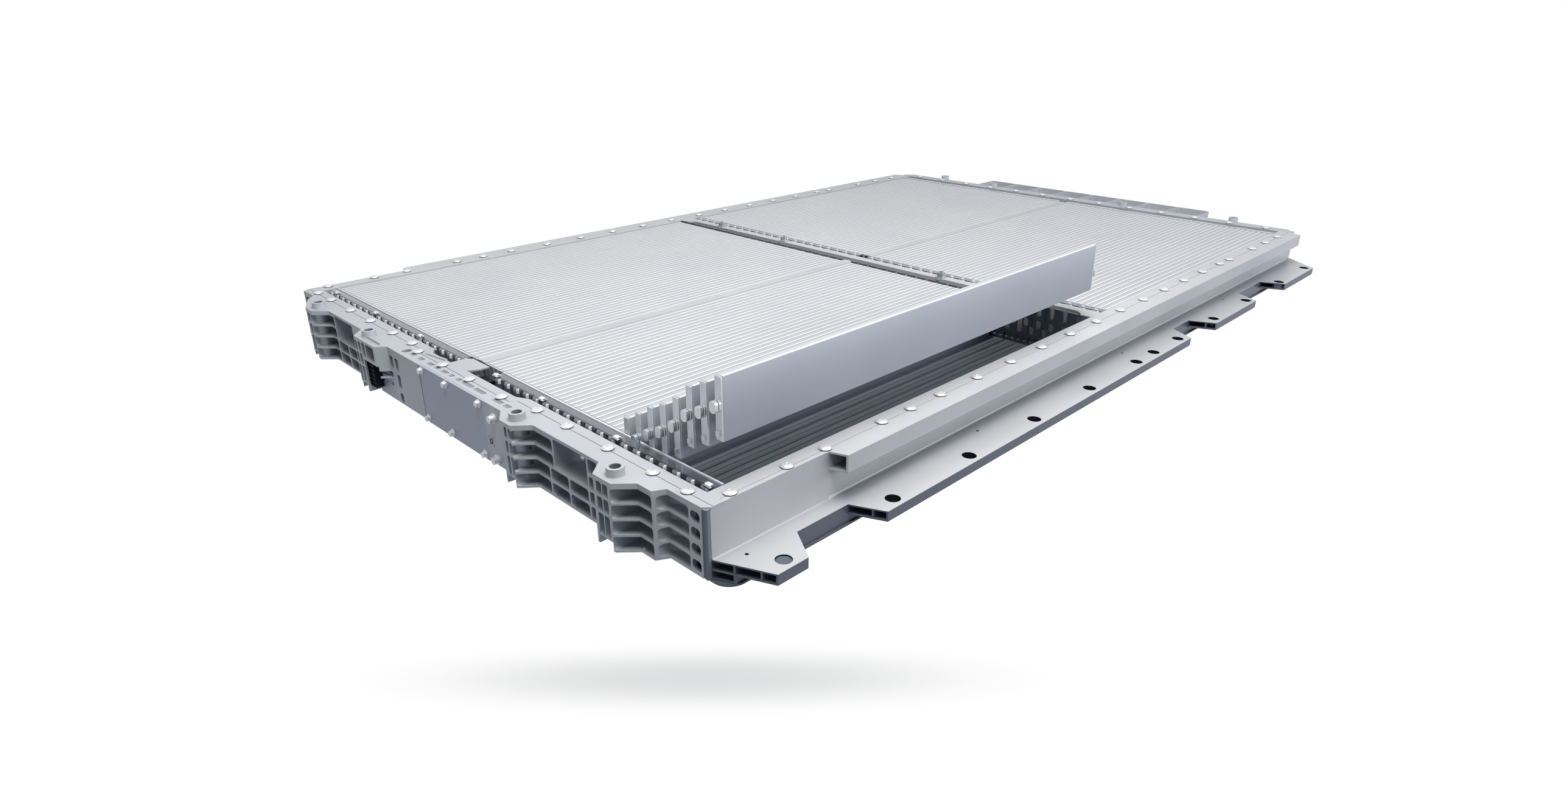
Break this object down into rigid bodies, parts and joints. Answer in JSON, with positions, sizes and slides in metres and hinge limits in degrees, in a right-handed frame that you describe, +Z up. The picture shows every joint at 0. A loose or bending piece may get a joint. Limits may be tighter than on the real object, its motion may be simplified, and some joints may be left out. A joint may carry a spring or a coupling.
{
  "type": "electric car battery pack",
  "caption": "Flat structural battery pack with its lid off: ribbed castings at both ends, side rails with mounting flanges, rows of blade cells, and some cells drawn up out of an open bay.",
  "frame": {"origin": "middle of the pack's bounding box in plan, at the underside of the bottom plate", "axes": "+X from the ribbed front casting to the rear tray, +Y to the pack's left, +Z up"},
  "size_m": [2.283, 1.508, 0.2545],
  "materials": {
    "extruded_aluminium": "mill finish extrusion",
    "cast_aluminium": "die cast, shot blasted",
    "underbody_sheet": "satin coating",
    "bay_floor": "matt coating",
    "cell_can": "satin drawn can with insulating film",
    "carrier_plastic": "moulded",
    "clear_plastic": "clear moulded polycarbonate",
    "busbar_aluminium": "rolled strip",
    "clip_plastic": "moulded",
    "steel_sleeve": "turned",
    "cover_sheet": "powder coated",
    "plated_steel": "bright zinc plated",
    "connector_plastic": "moulded"
  },
  "bodies": {
    "root": {"bottom_plate": "underbody_sheet", "side_rail_right": "extruded_aluminium", "side_rail_left": "extruded_aluminium", "front_casting": "cast_aluminium", "rear_casting": "cast_aluminium", "mid_beam": "extruded_aluminium", "beam_sleeves": "steel_sleeve", "terminal_carrier": "carrier_plastic", "centre_beam_front": "extruded_aluminium", "centre_beam_rear": "extruded_aluminium", "bay_floor_front": "bay_floor", "bay_floor_rear": "bay_floor", "cells_front_left": "cell_can", "cells_front_right": "cell_can", "cells_rear_left": "cell_can", "cells_rear_right": "cell_can", "lifted_cell_1": "cell_can", "lifted_cell_2": "cell_can", "lifted_cell_3": "cell_can", "lifted_cell_4": "cell_can", "lifted_cell_5": "cell_can", "lifted_cell_6": "cell_can", "lifted_cell_7": "cell_can", "lifted_cell_8": "cell_can", "busbar_cover_front_left": "clear_plastic", "busbar_cover_front_right": "clear_plastic", "busbar_cover_mid_left": "clear_plastic", "busbar_cover_mid_right": "clear_plastic", "busbar_cover_rear_left": "clear_plastic", "busbar_cover_rear_right": "clear_plastic", "busbars_front": "busbar_aluminium", "busbars_beam": "busbar_aluminium", "busbars_mid": "busbar_aluminium", "busbars_rear": "busbar_aluminium", "sensor_clips": "clip_plastic", "link_bracket": "cast_aluminium", "link_block": "connector_plastic", "access_cover": "cover_sheet", "cover_screws": "plated_steel", "cover_studs": "plated_steel", "signal_connector": "connector_plastic", "connector_plate": "cover_sheet", "coolant_ports": "steel_sleeve", "bolts_right": "plated_steel", "bolts_left": "plated_steel", "bolts_front": "plated_steel", "bolts_rear": "plated_steel"}
  },
  "joints": []
}
